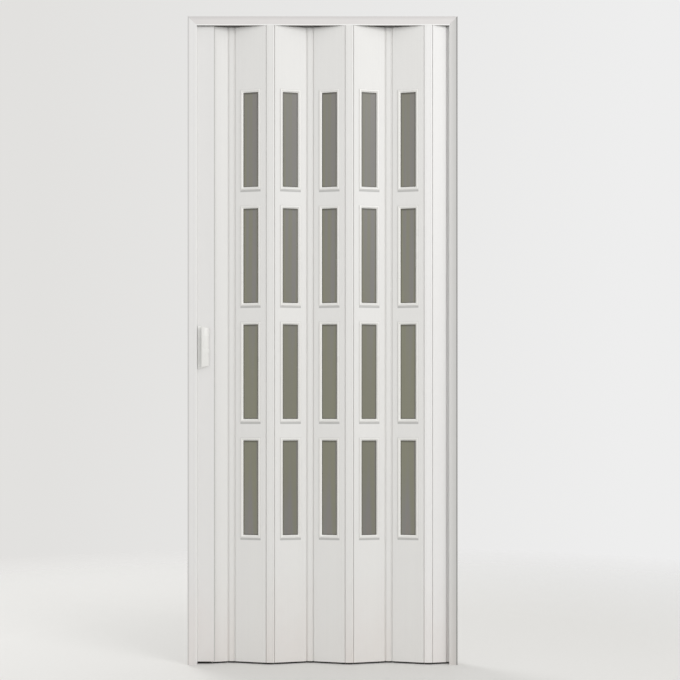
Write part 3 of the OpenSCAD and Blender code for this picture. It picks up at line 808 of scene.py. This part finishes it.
def handle_form():
    """Hood, base plate and screw bosses in one form."""
    form = with_modifier(hood_form(), "SOLIDIFY", thickness=HANDLE_WALL, offset=-1, use_even_offset=True)
    plate = bmesh.new()
    add_box(plate, (0, 0, -HANDLE_H / 2), (HANDLE_W, HANDLE_BASE, HANDLE_H / 2))
    cut_ends(plate)
    bmesh.ops.holes_fill(plate, edges=plate.edges)
    round_edges(plate, long_edges(plate, 1, HANDLE_BASE / 2), PLATE_ROUND, 5)
    rim = [edge for edge in plate.edges if min(vert.co.y for vert in edge.verts) > HANDLE_BASE * 0.9]
    round_edges(plate, rim, RIM_ROUND, 2)
    joined = mesh_of("plate", plate)
    form.from_mesh(joined)
    bpy.data.meshes.remove(joined)
    return form


post_low, post_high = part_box("closing_post")
handle_low, handle_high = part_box("handle_front")
handle_z = (handle_low.z + handle_high.z) / 2
for name, out in (("front", -1), ("rear", 1)):
    form = handle_form()
    face = post_low.y if out < 0 else post_high.y
    bmesh.ops.scale(form, vec=(1, out, 1), verts=form.verts)
    bmesh.ops.translate(form, vec=(handle_low.x, face, handle_z), verts=form.verts)
    handle = new_piece(f"pull_{name}", form, "handle_plastic", "post")
    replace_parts(handle, f"handle_{name}")

# %% [markdown]
# ## Screws and rivets
#
# Two pan-head screws hold the handles together, and their heads show in the rear handle's finger gap. The
# head is a disc whose rim is drawn up in steps to a low dome. A cross cut is taken out with a Boolean
# modifier, because two crossing slots are quick to describe as blocks.
#
# Each corner bracket is held by four rivets, made in the same way without the cut.

# %% Screw heads and rivets
HEAD_R = 3.6 * MM
HEAD_H = 2.2 * MM
RIVET_R = 2.4 * MM
RIVET_H = 1.1 * MM
HEAD_SIDE = 0.45
CROSS_ARMS = ((0.62, 0.14), (0.14, 0.62))


def head_form(radius, height):
    """A low dome on a disc, standing on its base along Z."""
    form = bmesh.new()
    bmesh.ops.create_circle(form, cap_ends=True, segments=28, radius=radius)
    raised = verts_of(bmesh.ops.extrude_face_region(form, geom=form.faces[:])["geom"])
    bmesh.ops.translate(form, vec=(0, 0, height * HEAD_SIDE), verts=raised)
    for share in (0.30, 0.18, 0.07):
        face = max(form.faces, key=lambda item: item.calc_center_median().z)
        bmesh.ops.inset_region(form, faces=[face], thickness=radius * 0.24)
        bmesh.ops.translate(form, vec=(0, 0, height * share), verts=face.verts[:])
    return form


def cross_cut(form):
    """Takes a cross out of the top of a head."""
    cutter = bmesh.new()
    for long, wide in CROSS_ARMS:
        x, y = long * HEAD_R, wide * HEAD_R
        add_box(cutter, (-x, -y, HEAD_H * HEAD_SIDE), (x, y, HEAD_H * 1.2))
    mesh = mesh_of("cutter", cutter)
    blade = placed("cutter", mesh)
    cut = with_modifier(
        form, "BOOLEAN", object=blade, operation="DIFFERENCE", solver="EXACT", use_self=True)
    bpy.data.objects.remove(blade)
    bpy.data.meshes.remove(mesh)
    return cut


def add_copy(form, source, placing):
    """Adds a placed copy of one form to another."""
    mesh = bpy.data.meshes.new("copy")
    source.to_mesh(mesh)
    mesh.transform(placing)
    form.from_mesh(mesh)
    bpy.data.meshes.remove(mesh)


screws = bmesh.new()
head = cross_cut(head_form(HEAD_R, HEAD_H))
for side in (-1, 1):
    seat = Vector((handle_low.x + SCREW_SET, post_high.y + HANDLE_BASE, handle_z + side * SCREW_PITCH / 2))
    laid = Matrix.Translation(seat) @ Matrix.Rotation(-pi / 2, 4, "X")
    add_copy(screws, head, laid @ Matrix.Rotation(0.5 + side, 4, "Z"))
head.free()
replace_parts(new_piece("handle_screw_heads", screws, "zinc", "post"), "handle_screws")

# %% Rivets on the corner brackets
BRACKET_T = 3 * MM
RIVET_SET = 14 * MM
RIVET_DEEP = 5 * MM

rivet = head_form(RIVET_R, RIVET_H)
for side, name in ((1, "left"), (-1, "right")):
    low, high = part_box(f"corner_bracket_{name}")
    corner = Vector((low.x if side > 0 else high.x, 0, high.z))
    rivets = bmesh.new()
    for depth in (-RIVET_DEEP, RIVET_DEEP):
        under = corner + Vector((side * RIVET_SET, depth, -BRACKET_T))
        add_copy(rivets, rivet, Matrix.Translation(under) @ Matrix.Rotation(pi, 4, "X"))
        inner = corner + Vector((side * BRACKET_T, depth, -RIVET_SET))
        add_copy(rivets, rivet, Matrix.Translation(inner) @ Matrix.Rotation(side * pi / 2, 4, "Y"))
    new_piece(f"bracket_rivets_{name}", rivets, "zinc", "frame")
rivet.free()

# %% [markdown]
# ## Seals round the panes
#
# A thin dark seal fills the corner between each pane and its bezel, and from the front it draws the dark
# line round the glass. It is a picture-frame strip: a flat face of the window's size is inset, its middle
# is taken out, the ring gets a thickness and its inner edge is rounded. One ring is made per leaf side and
# copied to the four windows.

# %% Seal strips
SEAL_W = 1.5 * MM
SEAL_T = 0.9 * MM


def seal_ring():
    """A ring that lies on the pane, with its back at zero and its face towards +Y."""
    form = bmesh.new()
    bmesh.ops.create_grid(form, x_segments=1, y_segments=1, size=0.5)
    bmesh.ops.scale(form, vec=(WINDOW_W, WINDOW_H, 1), verts=form.verts)
    middle = form.faces[:]
    bmesh.ops.inset_region(form, faces=middle, thickness=SEAL_W, use_boundary=True)
    bmesh.ops.delete(form, geom=middle, context="FACES_ONLY")
    raised = verts_of(bmesh.ops.extrude_face_region(form, geom=form.faces[:])["geom"])
    bmesh.ops.translate(form, vec=(0, 0, SEAL_T), verts=raised)
    inner_w = WINDOW_W / 2 - SEAL_W * 0.5
    inner = [
        edge for edge in form.edges
        if all(vert.co.z > SEAL_T / 2 and abs(vert.co.x) < inner_w for vert in edge.verts)
    ]
    round_edges(form, inner, SEAL_T * 0.6, 3)
    bmesh.ops.rotate(form, matrix=Matrix.Rotation(-pi / 2, 3, "X"), verts=form.verts)
    return form


ring = seal_ring()
for number, (middle, turn) in leaf_lines.items():
    seals = bmesh.new()
    for window in range(WINDOWS):
        height = WINDOW_LOW + window * WINDOW_PITCH
        for flip in (0, pi):
            placing = (
                Matrix.Translation((middle.x, middle.y, height)) @ Matrix.Rotation(turn + flip, 4, "Z")
                @ Matrix.Translation((0, PANE_T / 2, 0))
            )
            add_copy(seals, ring, placing)
    new_piece(f"leaf_{number}_seals", seals, "seal_rubber", f"leaf_{number}")
ring.free()

# %% [markdown]
# ## Lips and brushes
#
# A folding door closes its gaps with soft pieces. A white lip bridges each gap between the strike jamb and
# the post, and another hangs from each lower edge of the track, just clear of the leaves. A grey lip hangs
# from the edge of the post's cover, and grey felt lines the mouth of the track; their grey partly stands for
# the shade in these gaps, as painted shade.
#
# The upright lips are prisms on an outline in plan, thick at the root and thin at the tip. The lying ones
# are blocks.

# %% Lips and felt
def add_prism(form, outline, low, high):
    """A prism that stands on an outline of (x, y) corners, between two heights."""
    base = form.faces.new([form.verts.new((x, y, low)) for x, y in outline])
    raised = verts_of(bmesh.ops.extrude_face_region(form, geom=[base])["geom"])
    bmesh.ops.translate(form, vec=(0, 0, high - low), verts=raised)


CLEAR = 0.05 * MM
BEAD_DEEP = 16.2 * MM
END_ROOM = 1 * MM
TRACK_LIP_DEEP = (15.9 * MM, 17.1 * MM)
TRACK_LIP_BELOW = 0.8 * MM
TRACK_LIP_ABOVE = 0.3 * MM
COVER_LIP_SET = 0.75 * MM
COVER_LIP_ROOM = 0.5 * MM
FELT_DEEP = (4.7 * MM, 15 * MM)
FELT_T = 1.3 * MM
FELT_END = 3 * MM

lips = bmesh.new()
for out in (-1, 1):
    root, tip = out * BEAD_DEEP, out * (post_high.y + 0.5 * MM)
    outline = [
        (strike_x - 1.6 * MM, root), (strike_x - 0.3 * MM, root),
        (strike_x + 0.7 * MM, tip), (strike_x + 0.2 * MM, tip),
    ]
    add_prism(lips, outline, END_ROOM, track_z - END_ROOM)
new_piece("strike_lips", lips, "lip_white", "frame")

track_lips = bmesh.new()
for out in (-1, 1):
    near, far = sorted(out * deep for deep in TRACK_LIP_DEEP)
    low = (strike_x + END_ROOM, near, track_z - TRACK_LIP_BELOW)
    add_box(track_lips, low, (fixing_x - END_ROOM, far, track_z + TRACK_LIP_ABOVE))
new_piece("track_lips", track_lips, "lip_white", "frame")

cover_x = post_high.x
cover = bmesh.new()
cover_y = post_low.y + COVER_LIP_SET
outline = [
    (cover_x - 0.5 * MM, cover_y - 0.6 * MM), (cover_x + 2.4 * MM, cover_y + 0.1 * MM),
    (cover_x + 2.4 * MM, cover_y + 0.4 * MM), (cover_x - 0.5 * MM, cover_y + 0.6 * MM),
]
add_prism(cover, outline, post_low.z + COVER_LIP_ROOM, post_high.z - COVER_LIP_ROOM)
new_piece("cover_lip", cover, "lip_grey_and_shade", "post")

felt = bmesh.new()
runway_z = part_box("runway_front")[0].z
for out in (-1, 1):
    near, far = sorted(out * deep for deep in FELT_DEEP)
    low = (strike_x + FELT_END, near, runway_z - FELT_T)
    add_box(felt, low, (fixing_x - FELT_END, far, runway_z - CLEAR))
new_piece("track_felt", felt, "felt_grey_and_shade", "frame")
print(f"edges: strike {strike_x / MM:.1f} mm, cover {cover_x / MM:.1f} mm, runway {runway_z / MM:.1f} mm")

# %% [markdown]
# A brush hangs under every leaf, link and half leaf, and under the post, and sweeps the floor as the door
# folds. Each runs along its own piece, between the pivots at its ends. A brush is narrower at the floor
# than where it is held, and the ones that a leaf turns against end in a half round about the pivot, so that
# the row stays closed.

# %% Brushes under the door
BRUSH_LOW = 0.8 * MM
HINGE_ROOM = 3.8 * MM
ROUND_HALF = 3.2 * MM
BRUSH_HALF = 2.6 * MM
BRUSH_TIP = 0.45
STRIP_REACH = 12 * MM


def brush(name, body, start, end, top, rounded=False):
    """A brush between two points in plan, held at a height and thinner towards the floor."""
    middle, turn = line_between(start, end)
    half = ROUND_HALF if rounded else BRUSH_HALF
    reach = (end - start).length / 2 + (half if rounded else -HINGE_ROOM)
    form = bmesh.new()
    add_box(form, (-reach, -half, BRUSH_LOW), (reach, half, top))
    if rounded:
        round_edges(form, long_edges(form, 2, 1 * MM), half * 0.98, 6)
    for vert in form.verts:
        if vert.co.z < top - 1 * MM:
            vert.co.y *= BRUSH_TIP
    form.transform(Matrix.Translation((middle.x, middle.y, 0)) @ Matrix.Rotation(turn, 4, "Z"))
    new_piece(name, form, "brush_black_and_shade", body)


leaf_low_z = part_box("leaf_1_shell")[0].z - CLEAR
for number in range(1, LEAVES + 1):
    start, end = pivots[f"link_{number}_right_pivot"], pivots[f"link_{number + 1}_left_pivot"]
    brush(f"leaf_{number}_brush", f"leaf_{number}", start, end, leaf_low_z)
for number in range(1, LEAVES + 2):
    start, end = pivots[f"link_{number}_left_pivot"], pivots[f"link_{number}_right_pivot"]
    brush(f"link_{number}_brush", f"link_{number}", start, end, leaf_low_z, True)
first_pivot = pivots["link_1_left_pivot"]
last_pivot = pivots[f"link_{LEAVES + 1}_right_pivot"]
brush("closing_half_brush", "half_leaf_closing", pivots["post_pivot"], first_pivot, leaf_low_z)
brush("fixing_half_brush", "half_leaf_fixing", last_pivot, pivots["fixed_fold"], leaf_low_z)
post_start = Vector((post_low.x + ROUND_HALF + 1 * MM, 0, pivots["post_pivot"].z))
brush("post_brush", "post", post_start, pivots["post_pivot"], post_low.z - CLEAR, True)
strip_end = pivots["fixed_fold"] + Vector((STRIP_REACH, 0, 0))
brush("strip_brush", "frame", pivots["fixed_fold"], strip_end, leaf_low_z, True)

# %% [markdown]
# ## Floor and light
#
# The studio is one pale floor that fades into a pale surround, so that no edge or horizon crosses the
# picture. The fade is a mask on the distance from the door, between the floor's own surface and a clear
# one.
#
# The surround does two jobs. What the camera and reflections see is a soft white, a little lighter to the
# right. What lights the door is the same white at a lower level. One large lamp stands in front of the
# door, to the right and above, which makes the leaves that face right lighter than those that face left. A
# second lamp does the same for the back of the door.

# %% Lay the floor
FLOOR_R = 5.0
FADE_FROM = 1.2
FADE_TO = 3.4
SURROUND_LEFT = paint(226, 225, 223)
SURROUND_RIGHT = paint(238, 238, 238)

floor_form = bmesh.new()
bmesh.ops.create_circle(floor_form, cap_ends=True, segments=96, radius=FLOOR_R)
floor_mesh = mesh_of("floor", floor_form)
floor = placed("floor", floor_mesh)

sheet = new_finish("studio_floor")
place = sheet.own_place()
away = sheet.add("ShaderNodeVectorMath", {"operation": "LENGTH"}, {0: place}, "Value")
fade = ((away - FADE_FROM) / (FADE_TO - FADE_FROM)).held()
speckle = sheet.noise(place, (90, 90, 90), 4.0)
tone = sheet.mix(speckle, paint(226, 225, 222), paint(231, 230, 228))
surface = sheet.add("ShaderNodeBsdfPrincipled", {}, {"Base Color": tone, "Roughness": 0.7})
clear = sheet.add("ShaderNodeBsdfTransparent", {}, {})
faded = sheet.add("ShaderNodeMixShader", {}, {0: fade, 1: surface, 2: clear})
sheet.add("ShaderNodeOutputMaterial", {}, {"Surface": faded})
floor_mesh.materials.append(finishes["studio_floor"])
print("floor radius", FLOOR_R, "m, fading from", FADE_FROM, "m")

# %% Light the studio
AMBIENT = 0.722
KEY_POWER = 64.0
BACK_POWER = 68.0
LAMP_SIZE = 2.2
LAMP_AIM = 1.1

world = bpy.data.worlds.new("studio")
bpy.context.scene.world = world
sheet = Sheet(world)
direction = sheet.add("ShaderNodeTexCoord", {}, {}, "Generated")
sideways, _, _ = sheet.axes(direction)
surround = sheet.mix((0.5 + 2.2 * sideways).held(), SURROUND_LEFT, SURROUND_RIGHT)
seen_by = ("Is Camera Ray", "Is Glossy Ray", "Is Transmission Ray")
seen = sum(sheet.add("ShaderNodeLightPath", {}, {}, ray) for ray in seen_by)
shown = sheet.add("ShaderNodeBackground", {}, {"Color": surround, "Strength": 1.0})
lighting = sheet.add("ShaderNodeBackground", {}, {"Color": paint(255, 255, 254), "Strength": AMBIENT})
both = sheet.add("ShaderNodeMixShader", {}, {0: seen.held(), 1: lighting, 2: shown})
sheet.add("ShaderNodeOutputWorld", {}, {"Surface": both})


def soft_lamp(name, place, size, power):
    """A square lamp that looks at the middle of the door."""
    data = bpy.data.lights.new(name, "AREA")
    data.size = size
    data.energy = power
    lamp = placed(name, data)
    lamp.location = place
    lamp.rotation_euler = (Vector((0, 0, LAMP_AIM)) - Vector(place)).to_track_quat("-Z", "Y").to_euler()


soft_lamp("key", (2.7, -3.3, 3.0), LAMP_SIZE, KEY_POWER)
soft_lamp("back", (-2.6, 3.4, 2.8), LAMP_SIZE, BACK_POWER)
print("lamps:", KEY_POWER, "W in front,", BACK_POWER, "W behind")
